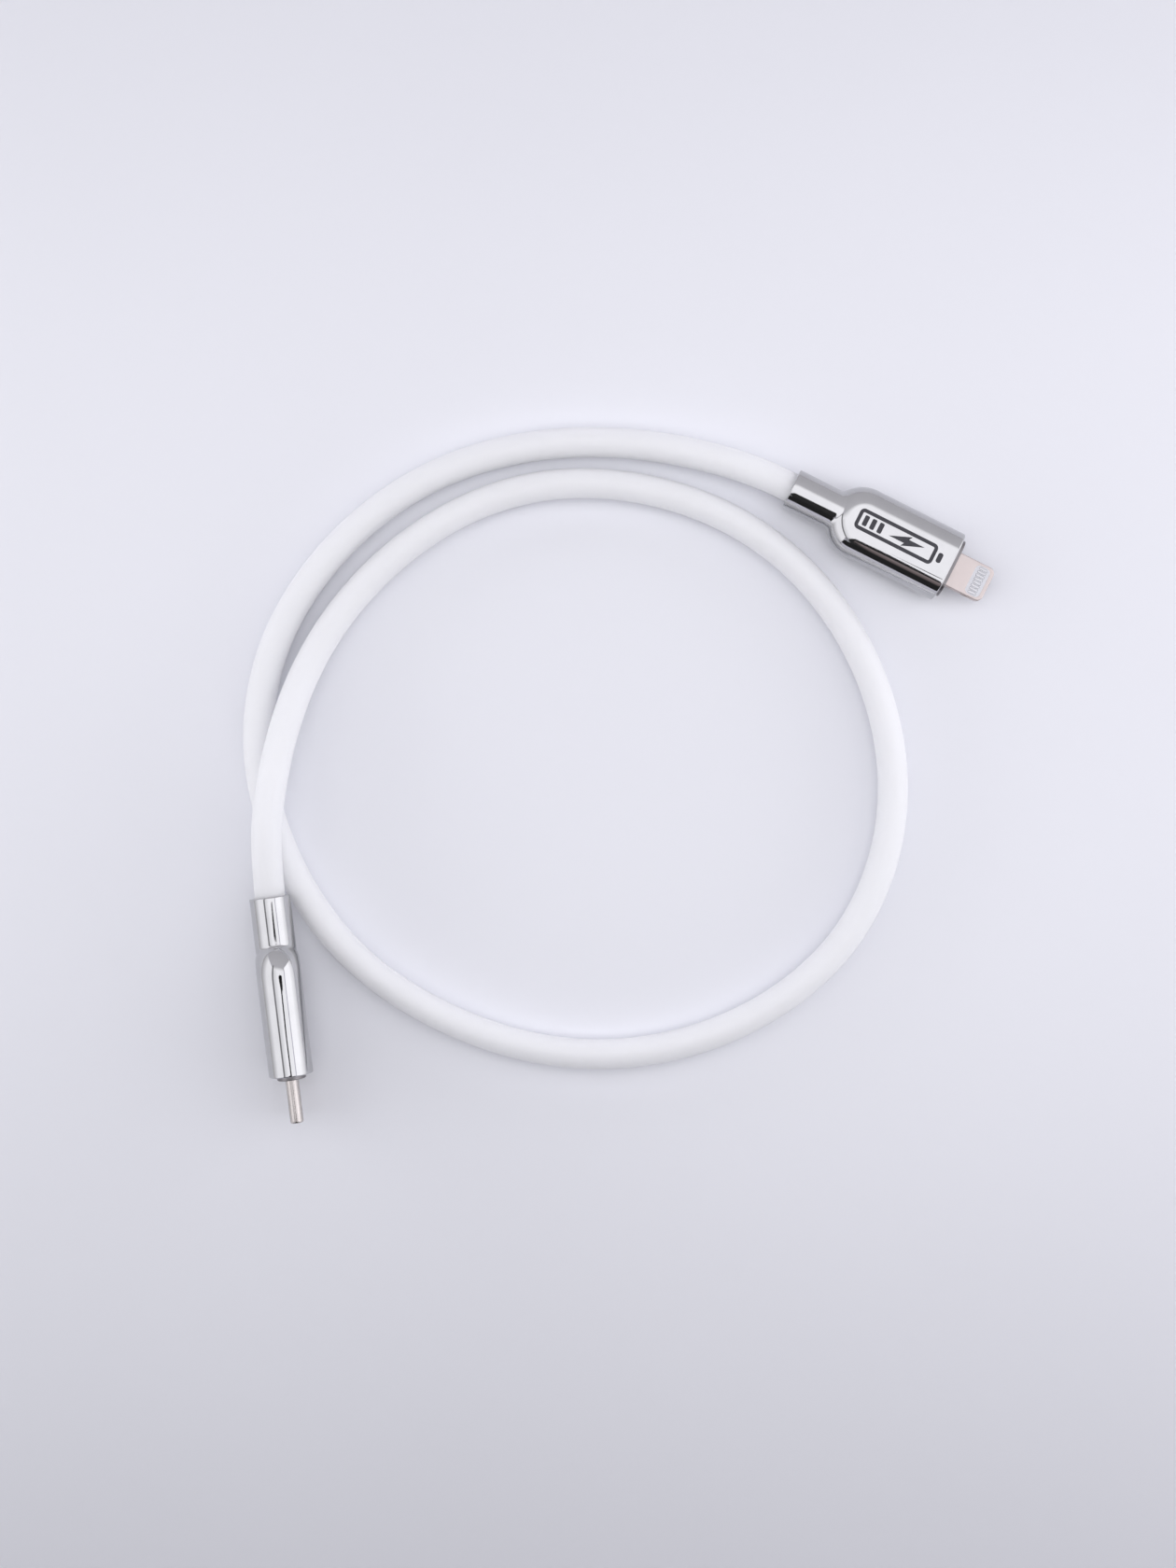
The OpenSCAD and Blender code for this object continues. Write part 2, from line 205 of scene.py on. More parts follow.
def metal(name, colour, roughness, stretch=(1, 1, 1), grain=3000, spread=0.08, depth=0.00001,
          haze=0.25):
    """Metal with a drawn or brushed grain; stretch draws the grain out."""
    m, tree, shader = new_material(name)
    shader.inputs["Metallic"].default_value = 1.0
    tone = noise(tree, grain / 8, 4, stretch)
    colours = ramp(tree, tone, [(0.3, shade(colour, 1 - spread)), (0.7, shade(colour, 1 + spread))])
    tree.links.new(colours, shader.inputs["Base Color"])
    gloss = ramp(tree, noise(tree, grain / 3, 3, stretch),
                 [(0.3, roughness * (1 - haze)), (0.7, roughness * (1 + haze))])
    tree.links.new(gloss, shader.inputs["Roughness"])
    bump(tree, shader, noise(tree, grain, 3, stretch), 0.25, depth)
    return m


# ---------------------------------------------------------------- materials
def white_silicone():
    """Satin white silicone: soft, with a very fine moulded texture."""
    m, tree, shader = new_material("white_silicone")
    tone = noise(tree, 60, 4)
    colours = ramp(tree, tone, [(0.3, (0.872, 0.876, 0.888)), (0.7, (0.888, 0.892, 0.904))])
    tree.links.new(colours, shader.inputs["Base Color"])
    gloss = ramp(tree, noise(tree, 700, 3), [(0.3, 0.46), (0.7, 0.56)])
    tree.links.new(gloss, shader.inputs["Roughness"])
    shader.inputs["Subsurface Weight"].default_value = 0.9
    shader.inputs["Subsurface Radius"].default_value = (0.006, 0.006, 0.0061)
    shader.inputs["Subsurface Scale"].default_value = 1.0
    shader.inputs["Sheen Weight"].default_value = 0.05
    bump(tree, shader, noise(tree, 5200, 3), 0.12, 0.00002)
    return m


def chrome_plate():
    """Polished chrome plate over a cast body, a little uneven, with a faint haze."""
    m, tree, shader = new_material("chrome_plate")
    shader.inputs["Metallic"].default_value = 1.0
    tone = noise(tree, 220, 5)
    colours = ramp(tree, tone, [(0.3, (0.515, 0.515, 0.522)), (0.72, (0.55, 0.55, 0.556))])
    tree.links.new(colours, shader.inputs["Base Color"])
    gloss = ramp(tree, noise(tree, 1400, 4), [(0.35, 0.045), (0.75, 0.09)])
    tree.links.new(gloss, shader.inputs["Roughness"])
    bump(tree, shader, noise(tree, 330, 2), 0.06, 0.00005)
    return m


def collar_grey():
    return metal("collar_grey", (0.24, 0.23, 0.235), 0.34, grain=5000, spread=0.08)


def tab_steel():
    return metal("tab_steel", (0.605, 0.54, 0.522), 0.4, grain=4200, spread=0.012, depth=0.0000005,
                 haze=0.05)


def shell_steel():
    return metal("shell_steel", (0.55, 0.515, 0.495), 0.27, stretch=(9, 1.2, 9), grain=1500,
                 haze=0.12)


def contact_silver():
    return metal("contact_silver", (0.6, 0.6, 0.62), 0.4, grain=5000, spread=0.012,
                 depth=0.0000005, haze=0.05)


def contact_white():
    return moulded("contact_white", (0.76, 0.765, 0.8), 0.4, spread=0.015, depth=0.000002)


def contact_gold():
    return metal("contact_gold", (0.83, 0.62, 0.27), 0.24)


def insulator_black():
    return moulded("insulator_black", (0.025, 0.025, 0.028), 0.5, spread=0.2)


def spring_steel():
    return metal("spring_steel", (0.58, 0.58, 0.6), 0.3)


def board_green():
    """Circuit board: green mask over copper tracks."""
    m, tree, shader = new_material("board_green")
    at = node(tree, "ShaderNodeTexCoord")
    tracks = node(tree, "ShaderNodeTexBrick", Scale=900, offset=0.5)
    tracks.inputs["Mortar Size"].default_value = 0.08
    tracks.inputs["Color1"].default_value = (0.02, 0.2, 0.08, 1)
    tracks.inputs["Color2"].default_value = (0.025, 0.23, 0.1, 1)
    tracks.inputs["Mortar"].default_value = (0.06, 0.36, 0.15, 1)
    tree.links.new(at.outputs["Object"], tracks.inputs["Vector"])
    tree.links.new(tracks.outputs["Color"], shader.inputs["Base Color"])
    gloss = ramp(tree, noise(tree, 900), [(0.3, 0.28), (0.7, 0.4)])
    tree.links.new(gloss, shader.inputs["Roughness"])
    bump(tree, shader, tracks.outputs["Fac"], 0.3, 0.00003)
    return m


def chip_black():
    return moulded("chip_black", (0.03, 0.03, 0.032), 0.55, grain=9000, spread=0.25)


def capacitor_tan():
    return moulded("capacitor_tan", (0.5, 0.38, 0.25), 0.5, grain=8000, spread=0.1)


def mould_ivory():
    return moulded("mould_ivory", (0.78, 0.75, 0.66), 0.45, spread=0.04)


def crimp_brass():
    return metal("crimp_brass", (0.72, 0.54, 0.25), 0.3)


def wire_red():
    return moulded("wire_red", (0.55, 0.03, 0.03), 0.35, spread=0.1)


def wire_black():
    return moulded("wire_black", (0.025, 0.025, 0.025), 0.35, spread=0.2)


def wire_green():
    return moulded("wire_green", (0.04, 0.32, 0.1), 0.35, spread=0.1)


def core_fabric():
    """Braided wrap round the bundled conductors."""
    m, tree, shader = new_material("core_fabric")
    at = node(tree, "ShaderNodeTexCoord")
    heights = []
    for turn in (0.8, -0.8):
        lay = node(tree, "ShaderNodeMapping", Rotation=(0, 0, turn))
        band = node(tree, "ShaderNodeTexWave", Scale=420, Distortion=0.6)
        tree.links.new(at.outputs["Object"], lay.inputs["Vector"])
        tree.links.new(lay.outputs["Vector"], band.inputs["Vector"])
        heights.append(band.outputs["Fac"])
    weave = node(tree, "ShaderNodeMath", operation="MAXIMUM")
    tree.links.new(heights[0], weave.inputs[0])
    tree.links.new(heights[1], weave.inputs[1])
    tone = ramp(tree, weave.outputs[0], [(0.1, (0.5, 0.5, 0.48)), (0.9, (0.8, 0.8, 0.77))])
    tree.links.new(tone, shader.inputs["Base Color"])
    shader.inputs["Roughness"].default_value = 0.85
    bump(tree, shader, weave.outputs[0], 0.5, 0.0001)
    return m


def mark_ink():
    """Dark grey printed ink, slightly uneven."""
    return moulded("mark_ink", (0.03, 0.03, 0.038), 0.45, grain=9000, spread=0.2, depth=0.000004)


MAKERS = [white_silicone, core_fabric, chrome_plate, collar_grey, tab_steel, contact_silver,
          contact_white, shell_steel, contact_gold, insulator_black, spring_steel, board_green,
          chip_black, capacitor_tan, mould_ivory, crimp_brass, wire_red, wire_black, wire_green,
          mark_ink]
MATERIALS = {maker.__name__: maker() for maker in MAKERS}

for part in record["subparts"]:          # every CAD node gets its slot's material
    shown = nodes[part["node"]]
    shown.data.materials.clear()
    shown.data.materials.append(MATERIALS[part["material_slot"]])


# ---------------------------------------------------------------- piece helpers
def add_piece(name, data, slot, replaced=(), matrix=None, material=None):
    """Links a finished mesh or curve as a piece that rides on the cable's body."""
    obj = bpy.data.objects.new(name, data)
    data.materials.clear()
    data.materials.append(MATERIALS[material or slot])
    bpy.context.scene.collection.objects.link(obj)
    if matrix is not None:
        data.transform(matrix)
    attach(obj, BODY)
    if replaced:
        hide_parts(*replaced)
    return obj


def rings_mesh(name, rings, closed=False):
    """A smooth mesh through rings of points. closed joins the last ring to the first."""
    count = len(rings[0])
    verts = [p for ring in rings for p in ring]
    faces = []
    last = len(rings) if closed else len(rings) - 1
    for j in range(last):
        a, b = j * count, (j + 1) % len(rings) * count
        for i in range(count):
            k = (i + 1) % count
            faces.append((a + i, a + k, b + k, b + i))
    mesh = bpy.data.meshes.new(name)
    mesh.from_pydata(verts, [], faces)
    mesh.validate()
    for polygon in mesh.polygons:
        polygon.use_smooth = True
    mesh.update()
    return mesh


def polar_stadium(half, radius, angle):
    """Distance from the axis to an oval's edge in a direction of the YZ plane."""
    c, s = abs(math.cos(angle)), abs(math.sin(angle))
    if radius * c <= half * s:
        return radius / s
    return half * c + math.sqrt(max(0.0, radius * radius - half * half * s * s))


def oval_ring(u, half, radius, ends=20, flats=6):
    """An oval outline at station u, from normal to normal round its ends and along its flats."""
    ring = []
    for side in (1, -1):
        for i in range(ends + 1):
            a = -math.pi / 2 + math.pi * i / ends
            ring.append((u, side * (half + radius * math.cos(a)), side * radius * math.sin(a)))
        for i in range(1, flats):
            y = side * half * (1 - 2 * i / flats)
            ring.append((u, y, side * radius))
    return ring


def edge_round(u, radius, steps, turn):
    """Stations and insets of a rounded rim that ends at u; turn +1 faces +X, -1 faces -X."""
    for i in range(steps + 1):
        a = math.pi / 2 * i / steps
        yield u - turn * radius * (1 - math.sin(a)), radius * (1 - math.cos(a))


# ---------------------------------------------------------------- housings
PLUG_R = 4.0               # half the thickness of a plug, and its edges' radius
PLUG_HALF = 2.7            # half the width of its flats
NECK_R = 3.7
HOUSING_L = 32.1           # where the front face lies along the plug's frame
REAR_CENTRE = 14.2
AROUND = 180               # points round the housing
CAVITY_START = 12.5
CAVITY_HALF, CAVITY_R = 3.0, 2.65
CORE_BORE_R = 2.35         # the cable's core passes here
JACKET_BORE_R = 2.85       # the jacket sits here, from the mouth to its stop
JACKET_STOP = 6.7


def body_radius(u, angle):
    """Distance from the axis to the body's surface: every point within PLUG_R of a flat sheet
    that ends in a half circle at its rear."""
    if u >= REAR_CENTRE:
        return polar_stadium(PLUG_HALF, PLUG_R, angle)
    c, s = abs(math.cos(angle)), abs(math.sin(angle))
    back = REAR_CENTRE - u

    def outside(r):
        y, z = r * c, r * s
        reach = math.hypot(back, y) - PLUG_HALF
        return math.hypot(max(0.0, reach), z) > PLUG_R

    low, high = 0.0, 8.0
    if outside(low):
        return 0.0
    for _ in range(36):
        middle = (low + high) / 2
        low, high = (low, middle) if outside(middle) else (middle, high)
    return low


def smooth_step(a, b, x):
    t = min(1.0, max(0.0, (x - a) / (b - a)))
    return t * t * (3 - 2 * t)


def smooth_max(a, b, k):
    if k <= 0:
        return max(a, b)
    h = max(k - abs(a - b), 0.0) / k
    return max(a, b) + h * h * k / 4


def outer_radius(u, angle):
    """The neck runs into the body with a small fillet in the hollow corner."""
    fillet = 0.5 * (1 - smooth_step(8.8, 10.2, u))
    return smooth_max(NECK_R, body_radius(u, angle), fillet)


def polar_ring(u, radius_at):
    ring = []
    for i in range(AROUND):
        a = 2 * math.pi * i / AROUND
        r = radius_at(a)
        ring.append((u, r * math.cos(a), r * math.sin(a)))
    return ring


def cavity_radius(angle):
    return polar_stadium(CAVITY_HALF, CAVITY_R, angle)


def spaced(start, end, step):
    count = max(1, round((end - start) / step))
    return [start + (end - start) * i / count for i in range(count)]


def housing_mesh(name):
    rim, front_rim = 0.2, 0.25
    rings = []
    # outside, from the mouth to the front
    for u, inset in reversed(list(edge_round(MOUTH, rim, 5, -1))):
        rings.append(polar_ring(u, lambda a: NECK_R - inset))
    stations = spaced(0.6, 7.3, 0.8) + spaced(7.3, 14.4, 0.11) + spaced(14.4, 31.2, 0.8) + [31.6]
    for u in stations:
        rings.append(polar_ring(u, lambda a: outer_radius(u, a)))
    for u, inset in edge_round(HOUSING_L, front_rim, 6, 1):
        rings.append(polar_ring(u, lambda a: polar_stadium(PLUG_HALF, PLUG_R - inset, a)))
    # inside, from the front back to the mouth
    for u in (HOUSING_L, HOUSING_L - 0.05, 28, 20, CAVITY_START + 0.1, CAVITY_START):
        grow = 0.05 if u == HOUSING_L else 0
        rings.append(polar_ring(u, lambda a: cavity_radius(a) + grow))
    bore = [(CAVITY_START, CORE_BORE_R), (CAVITY_START - 0.1, CORE_BORE_R),
            (JACKET_STOP + 0.1, CORE_BORE_R), (JACKET_STOP, CORE_BORE_R + 0.05),
            (JACKET_STOP, JACKET_BORE_R), (JACKET_STOP - 0.1, JACKET_BORE_R),
            (MOUTH + 0.3, JACKET_BORE_R), (MOUTH + 0.1, JACKET_BORE_R + 0.05),
            (MOUTH, JACKET_BORE_R + 0.15)]
    for u, r in bore:
        rings.append(polar_ring(u, lambda a: r))
    return rings_mesh(name, rings, closed=True)


def make_housing(prefix, plug):
    """Chrome-plated casting of one plug."""
    name = prefix + "_housing"
    mesh = housing_mesh(name + "_cast")
    add_piece(mesh.name, mesh, "chrome_plate", [name], plug)


# ---------------------------------------------------------------- collars, shell, tab
COLLAR_START, COLLAR_FRONT = 28.0, 32.8
COLLAR_HALF, COLLAR_R = 3.0, 2.6
SHELL_HALF, SHELL_R = 2.925, 1.2
FIT = 0.015                # mm between the shell and the collar's hole


def collar_mesh(name, hole_half, hole_r):
    """An oval sleeve with a rounded front rim and an oval hole."""
    half, radius, rim, chamfer = COLLAR_HALF, COLLAR_R, 0.15, 0.1
    rings = [oval_ring(COLLAR_START, half, radius - chamfer)]
    rings += [oval_ring(u, half, radius) for u in (COLLAR_START + chamfer, 31.0, 32.2)]
    for u, inset in edge_round(COLLAR_FRONT, rim, 6, 1):
        rings.append(oval_ring(u, half, radius - inset))
    rings += [oval_ring(COLLAR_FRONT, hole_half, hole_r + 0.08),
              oval_ring(COLLAR_FRONT - 0.1, hole_half, hole_r),
              oval_ring(COLLAR_START, hole_half, hole_r)]
    return rings_mesh(name, rings, closed=True)


def make_collars():
    phone = collar_mesh("phone_plug_collar_moulded", 2.6, 0.77)
    charger = collar_mesh("charger_plug_collar_moulded", SHELL_HALF, SHELL_R + FIT)
    add_piece(phone.name, phone, "collar_grey", ["phone_plug_collar"], PHONE)
    add_piece(charger.name, charger, "collar_grey", ["charger_plug_collar"], CHARGER)


def shell_ring(u, radius):
    return oval_ring(u, SHELL_HALF, radius, 28, 4)


def make_shell():
    """Drawn oval steel shell with a rounded lip."""
    wall, start, tip, lip, lip_reach, steps = 0.25, 21.0, 40.8, 0.22, 0.4, 8
    rings = [shell_ring(u, SHELL_R) for u in (start, 28, 33, 36, 39)]
    for i in range(steps + 1):
        a = math.pi / 2 * i / steps
        rings.append(shell_ring(tip - lip_reach * (1 - math.sin(a)),
                                SHELL_R - lip * (1 - math.cos(a))))
    rings += [shell_ring(u, SHELL_R - wall) for u in (tip - 0.03, tip - 0.2, 30, start)]
    mesh = rings_mesh("charger_plug_shell_drawn", rings, closed=True)
    add_piece(mesh.name, mesh, "shell_steel", ["charger_plug_shell"], CHARGER)


def arc(cx, cy, r, start, end, steps):
    """Points of an arc in degrees, from start to end."""
    turns = [math.radians(start + (end - start) * i / steps) for i in range(steps + 1)]
    return [(cx + r * math.cos(turn), cy + r * math.sin(turn)) for turn in turns]


def rounded_rectangle(x0, x1, y0, y1, r, steps=8):
    return (arc(x1 - r, y0 + r, r, -90, 0, steps) + arc(x1 - r, y1 - r, r, 0, 90, steps)
            + arc(x0 + r, y1 - r, r, 90, 180, steps) + arc(x0 + r, y0 + r, r, 180, 270, steps))


def plate_mesh(name, outlines, thickness, edge, height=0.0, rounds=2):
    """A flat plate with rounded edges: outlines in the plug's XY plane, holes turned the other
    way round. thickness is the whole of it, height the middle of it."""
    data = bpy.data.curves.new(name, "CURVE")
    data.dimensions = "2D"
    data.fill_mode = "BOTH"
    data.extrude = thickness / 2 - edge
    data.bevel_depth = edge
    data.bevel_resolution = rounds
    data.offset = -edge
    for outline in outlines:
        spline = data.splines.new("POLY")
        spline.points.add(len(outline) - 1)
        for point, (x, y) in zip(spline.points, outline):
            point.co = (x, y, 0, 1)
        spline.use_cyclic_u = True
    holder = bpy.data.objects.new(name, data)
    bpy.context.scene.collection.objects.link(holder)
    bpy.context.view_layer.update()
    depsgraph = bpy.context.evaluated_depsgraph_get()
    mesh = bpy.data.meshes.new_from_object(holder.evaluated_get(depsgraph))
    bpy.data.objects.remove(holder)
    mesh.name = name
    mesh.transform(Matrix.Translation((0, 0, height)))
    for polygon in mesh.polygons:
        polygon.use_smooth = False
    return mesh


TAB_START, TAB_TIP, TAB_HALF, TAB_T = 27.2, 40.2, 3.35, 1.5
WINDOW = (36.5, 39.5, -2.9, 2.9, 0.9)      # back, front, left, right, corner radius


def side_dimple(side):
    """Cutter for the lock dimple in a side edge of the tab."""
    r, depth, height, back = 1.0, 0.4, 0.95, 3.1
    outline = arc(TAB_TIP - back, side * (TAB_HALF + r - depth), r, 0, 360, 40)[:-1]
    return plate_mesh("dimple", [outline], height, 0.15)


def cut_away(mesh, cutters):
    """The mesh with the cutters' shapes taken out of it."""
    holder = bpy.data.objects.new("cut_away", mesh)
    bpy.context.scene.collection.objects.link(holder)
    tools = []
    for cutter in cutters:
        tool = bpy.data.objects.new("cutter", cutter)
        bpy.context.scene.collection.objects.link(tool)
        cut = holder.modifiers.new("cut", "BOOLEAN")
        cut.object, cut.operation, cut.solver = tool, "DIFFERENCE", "EXACT"
        tools.append(tool)
    bpy.context.view_layer.update()
    depsgraph = bpy.context.evaluated_depsgraph_get()
    result = bpy.data.meshes.new_from_object(holder.evaluated_get(depsgraph))
    for obj in [holder, *tools]:
        bpy.data.objects.remove(obj)
    return result


def make_tab():
    """Steel tab with round corners, a lock dimple in each side edge and a window."""
    r, edge, lip = 1.2, 0.22, 0.04
    outline = [(TAB_START, -TAB_HALF)]
    outline += arc(TAB_TIP - r, -TAB_HALF + r, r, -90, 0, 12)
    outline += arc(TAB_TIP - r, TAB_HALF - r, r, 0, 90, 12)
    outline += [(TAB_START, TAB_HALF)]
    x0, x1, y0, y1, corner = WINDOW
    inset = edge - lip                   # the rounded edge opens out to the window's own size
    window = rounded_rectangle(x0 + inset, x1 - inset, y0 + inset, y1 - inset, corner - inset)
    plain = plate_mesh("tab_plain", [outline, window[::-1]], TAB_T, edge, rounds=3)
    mesh = cut_away(plain, [side_dimple(1), side_dimple(-1)])
    mesh.name = "phone_plug_tab_stamped"
    add_piece(mesh.name, mesh, "tab_steel", ["phone_plug_tab"], PHONE)


CONTACTS = 8
CONTACT_PITCH, CONTACT_W, CONTACT_L, CONTACT_FRONT = 0.67, 0.42, 1.6, 38.8
INSERT_GAP = 0.03          # mm round the insert, and round each contact in its seat


def contact_outline(i, gap=0.0):
    """Outline of one contact pad, or of its seat with a gap all round."""
    y = (i - (CONTACTS - 1) / 2) * CONTACT_PITCH
    half = CONTACT_W / 2 + gap
    return rounded_rectangle(CONTACT_FRONT - CONTACT_L - gap, CONTACT_FRONT + gap,
                             y - half, y + half, 0.15 + gap, 5)


def make_insert():
    """White insert in the tab's window, with a seat for each contact."""
    x0, x1, y0, y1, r = WINDOW
    gap, thickness, edge = INSERT_GAP, 1.46, 0.04
    outline = rounded_rectangle(x0 + gap, x1 - gap, y0 + gap, y1 - gap, r - gap)
    seats = [contact_outline(i, gap)[::-1] for i in range(CONTACTS)]
    mesh = plate_mesh("phone_plug_contact_insert_moulded", [outline, *seats], thickness, edge)
    add_piece(mesh.name, mesh, "contact_white", ["phone_plug_contact_insert"], PHONE)


def make_contacts():
    """Eight silvery pads on each face of the tab."""
    thickness, edge, height = 0.12, 0.03, 0.69
    outlines = [contact_outline(i) for i in range(CONTACTS)]
    for face, side in (("upper", 1), ("lower", -1)):
        node_name = f"phone_plug_{face}_contacts"
        mesh = plate_mesh(node_name + "_plated", outlines, thickness, edge, side * height)
        add_piece(mesh.name, mesh, "contact_silver", [node_name], PHONE)


# ---------------------------------------------------------------- printed mark
def stroke_ring(x0, x1, y0, y1, r, width):
    inner = rounded_rectangle(x0 + width, x1 - width, y0 + width, y1 - width, max(0.1, r - width))
    return [rounded_rectangle(x0, x1, y0, y1, r), inner[::-1]]


def mark_outlines():
    """A generic charging symbol: a battery outline with its nub, bars and a lightning bolt."""
    outlines = stroke_ring(12.7, 28.5, -2.0, 2.0, 0.9, 0.68)
    outlines.append(rounded_rectangle(28.95, 29.9, -0.95, 0.95, 0.4, 5))
    bars, first_bar, bar_pitch, bar_w = 3, 13.95, 1.5, 0.9
    for i in range(bars):
        x = first_bar + i * bar_pitch
        outlines.append(rounded_rectangle(x, x + bar_w, -1.0, 1.0, 0.25, 5))
    outlines.append([(19.3, -0.5), (22.4, -0.5), (22.0, -1.2), (26.2, 0.45), (23.0, 0.45),
                     (23.4, 1.15)])
    return outlines


def make_mark(name, plug, side):
    """The mark printed on one flat of a plug, a thin layer of ink."""
    thickness, edge, height = 0.03, 0.006, PLUG_R + 0.01
    mesh = plate_mesh(name, mark_outlines(), thickness, edge, side * height, 1)
    add_piece(name, mesh, "collar_grey", (), plug, "mark_ink")


# ---------------------------------------------------------------- build the object
cord = add_piece("charging_cord", cable_curve(), "white_silicone", ["cable_jacket"])
make_housing("phone_plug", PHONE)
make_housing("charger_plug", CHARGER)
make_collars()
make_shell()
make_tab()
make_insert()
make_contacts()
make_mark("phone_plug_charging_mark", PHONE, 1)
make_mark("charger_plug_charging_mark", CHARGER, -1)


# ---------------------------------------------------------------- floor
def floor_material():
    """Smooth white table top, faintly glossy, with a trace of unevenness."""
    m, tree, shader = new_material("pale_floor")
    tone = noise(tree, 9, 3)
    colours = ramp(tree, tone, [(0.3, (0.87, 0.877, 0.915)), (0.7, (0.885, 0.892, 0.93))])
    tree.links.new(colours, shader.inputs["Base Color"])
    shader.inputs["Roughness"].default_value = 0.32
    shader.inputs["Specular IOR Level"].default_value = 0.35
    return m


def flat_card(name, corners, material):
    """A flat part of the stage with any number of corners."""
    mesh = bpy.data.meshes.new(name)
    mesh.from_pydata(corners, [], [tuple(range(len(corners)))])
    mesh.update()
    mesh.materials.append(material)
    card = bpy.data.objects.new(name, mesh)
    bpy.context.scene.collection.objects.link(card)
    return card


def level(z, *corners):
    return [(x, y, z) for x, y in corners]


FLOOR_HALF = 3.0
flat_card("floor", level(0, (-FLOOR_HALF, -FLOOR_HALF), (FLOOR_HALF, -FLOOR_HALF),
                         (FLOOR_HALF, FLOOR_HALF), (-FLOOR_HALF, FLOOR_HALF)), floor_material())


# ---------------------------------------------------------------- light tent
def glow(name, tint, low, high=None, axis="Z", start=0.0, end=1.0):
    """A panel that shines by itself, from strength low at its start to high at its end."""
    m = bpy.data.materials.new(name)
    m.use_nodes = True
    tree = m.node_tree
    tree.nodes.clear()
    out = node(tree, "ShaderNodeOutputMaterial")
    light = node(tree, "ShaderNodeEmission", Color=(*tint, 1), Strength=low)
    tree.links.new(light.outputs[0], out.inputs["Surface"])
    if high is not None:
        at = node(tree, "ShaderNodeTexCoord")
        split = node(tree, "ShaderNodeSeparateXYZ")
        fade = node(tree, "ShaderNodeMapRange")
        reach = {"From Min": start, "From Max": end, "To Min": low, "To Max": high}
        for key, value in reach.items():
            fade.inputs[key].default_value = value
        tree.links.new(at.outputs["Object"], split.inputs[0])
        tree.links.new(split.outputs[axis], fade.inputs["Value"])
        tree.links.new(fade.outputs[0], light.inputs["Strength"])
    return m


def panel(name, corners, material, shadow=False):
    """A card of the tent: reflections see it, the camera doesn't."""
    card = flat_card(name, corners, material)
    card.visible_camera = False
    card.visible_shadow = shadow
    return card


def upright(x, y0, y1, z0, z1):
    return [(x, y0, z0), (x, y1, z0), (x, y1, z1), (x, y0, z1)]


def strip(z, start, end, half):
    """A straight level strip from start to end, half wide to each side."""
    along = (Vector(end) - Vector(start)).normalized()
    side = Vector((-along.y, along.x)) * half
    a, b = Vector(start), Vector(end)
    return level(z, a - side, b - side, b + side, a + side)


COOL = (0.965, 0.96, 1.0)
WARM = (0.36, 0.295, 0.30)
CEILING_Z = 0.45
CEILING_LEFT, CEILING_RIGHT, CEILING_STEP = -0.222, 0.243, 0.143
SEAM_LEFT = -0.30
WALL_FRONT, WALL_BACK = -0.44, 0.45
ROOM_Y = -0.45
panel("tent_ceiling", level(CEILING_Z, (CEILING_LEFT, -0.2), (CEILING_RIGHT, -0.2),
                            (CEILING_RIGHT, CEILING_STEP), (CEILING_LEFT, CEILING_STEP)),
      glow("ceiling_glow", COOL, 1.12, 1.58, "X", CEILING_LEFT, -0.06))
panel("tent_ceiling_back", level(CEILING_Z, (CEILING_LEFT, CEILING_STEP),
                                 (CEILING_RIGHT, CEILING_STEP), (CEILING_RIGHT, 0.24),
                                 (CEILING_LEFT, 0.24)),
      glow("ceiling_back_glow", COOL, 1.55, 0.8, "Y", CEILING_STEP, 0.24))
panel("tent_seam", level(CEILING_Z, (SEAM_LEFT, WALL_FRONT), (CEILING_LEFT, WALL_FRONT),
                         (CEILING_LEFT, 0.3), (SEAM_LEFT, 0.3)), glow("seam_glow", COOL, 0.35))
panel("tent_slit", strip(CEILING_Z - 0.002, (0.064, -0.036), (0.10, -0.010), 0.009),
      glow("slit_glow", COOL, 0.25))
panel("tent_left", upright(-0.5, WALL_FRONT, WALL_BACK, 0, 0.963),
      glow("left_glow", COOL, 0.6, 1.46, "Z", 0.0, 0.28))
panel("tent_right", upright(0.5, WALL_FRONT, WALL_BACK, 0, 0.705),
      glow("right_glow", COOL, 1.2, 1.8, "Z", 0.0, 0.25))
panel("room_front", [(-1.2, ROOM_Y, 0.128), (0.7, ROOM_Y, 0.128), (0.7, ROOM_Y, 0.46),
                     (-1.2, ROOM_Y, 0.46)], glow("room_glow", COOL, 0.028), shadow=True)
room_dark = glow("room_ceiling_glow", COOL, 0.04)
panel("room_ceiling", level(0.46, (-0.3, ROOM_Y), (0.3, ROOM_Y), (0.1, -0.19), (-0.16, -0.19)),
      room_dark, shadow=True)
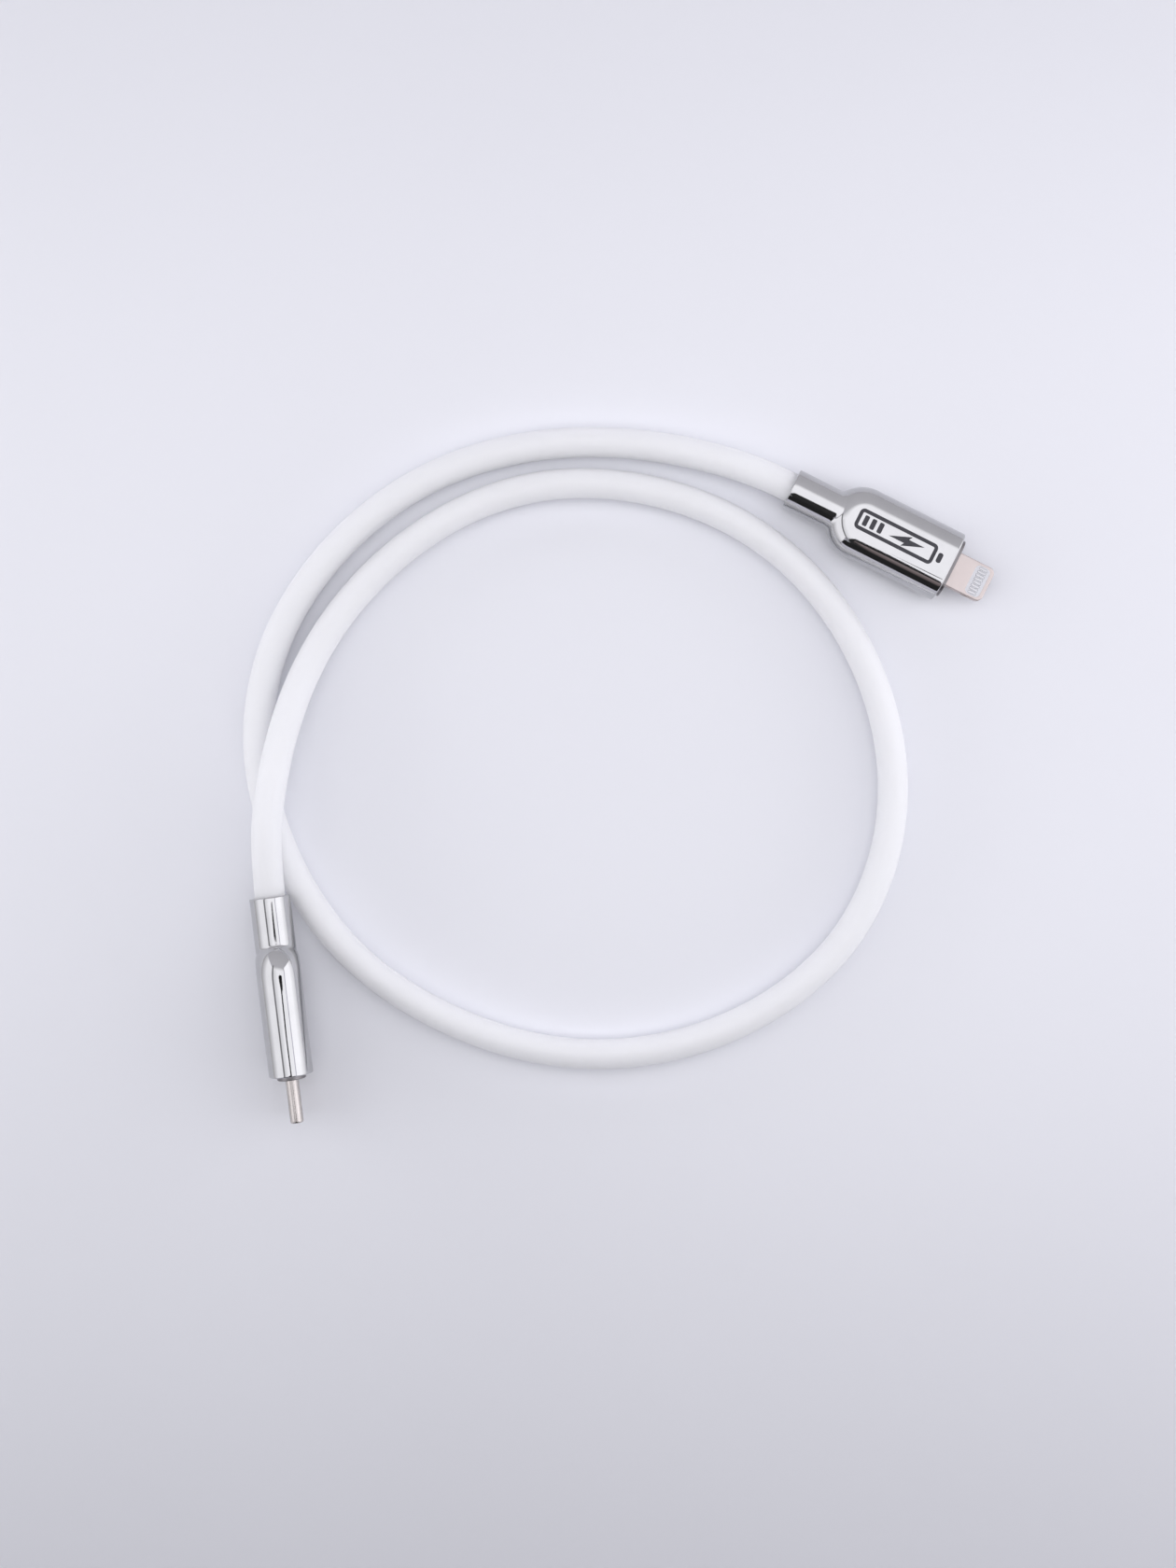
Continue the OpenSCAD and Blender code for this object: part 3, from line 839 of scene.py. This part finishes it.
panel("room_cornice", level(0.455, (-0.05, -0.215), (0.2, -0.13), (0.3, -0.42), (-0.13, -0.42)),
      glow("room_cornice_glow", WARM, 0.3, 1.0, "Y", -0.42, -0.22))
dark = glow("camera_glow", COOL, 0.02)


# ---------------------------------------------------------------- dark shapes over the table
def silhouette(name, z, outline, material):
    """A plain dark flat shape, its outline in mm, that only reflections see."""
    shape = panel(name, level(z, *((x * MM, y * MM) for x, y in outline)), material)
    shape.visible_diffuse = False


HOOD_Z, ARM_Z = 0.04, 0.1
silhouette("camera_strap", ARM_Z, [(-40, -20), (-53, -31), (-30, -29)], dark)
silhouette("camera_hood", HOOD_Z, rounded_rectangle(-59, -50, -37, -29, 3), dark)
silhouette("camera_arm", ARM_Z, [(-45, -40), (-35, -40), (-41, -52), (-34, -75), (-46, -75),
                                 (-51, -52)], dark)
silhouette("photographer", CEILING_Z - 0.001,
           [(30, -85), (-20, -130), (-115, -180), (-115, -202), (60, -202)], room_dark)

FLAG_Z, FLAG_HALF = 0.25, 0.5
for name, y0, y1 in (("front_flag", -0.40, -0.125), ("back_flag", 0.22, 0.45)):
    corners = level(FLAG_Z, (-FLAG_HALF, y0), (FLAG_HALF, y0), (FLAG_HALF, y1), (-FLAG_HALF, y1))
    flag = panel(name, corners, dark, shadow=True)
    flag.visible_glossy = False      # it shades that end of the table top

wall = panel("back_wall", [(-0.6, 0.6, 0), (1.3, 0.6, 0), (1.3, 0.6, 1.8), (-0.6, 0.6, 1.8)],
             glow("wall_glow", (0.95, 0.94, 1.0), 0.69, 0.86, "Z", 0.1, 1.8))
wall.visible_diffuse = False
fill = glow("fill_glow", COOL, 1.6)
FILL_X, FILL_FRONT, FILL_BACK, FILL_TOP = 0.32, -0.12, 0.32, 0.12
for name, x in (("fill_left", -FILL_X), ("fill_right", FILL_X)):
    panel(name, upright(x, FILL_FRONT, FILL_BACK, 0, FILL_TOP), fill).visible_glossy = False

world = bpy.data.worlds.new("studio")
bpy.context.scene.world = world
world.use_nodes = True
sky = world.node_tree.nodes["Background"]
sky.inputs["Color"].default_value = (0.71, 0.70, 0.80, 1)
sky.inputs["Strength"].default_value = 1.12
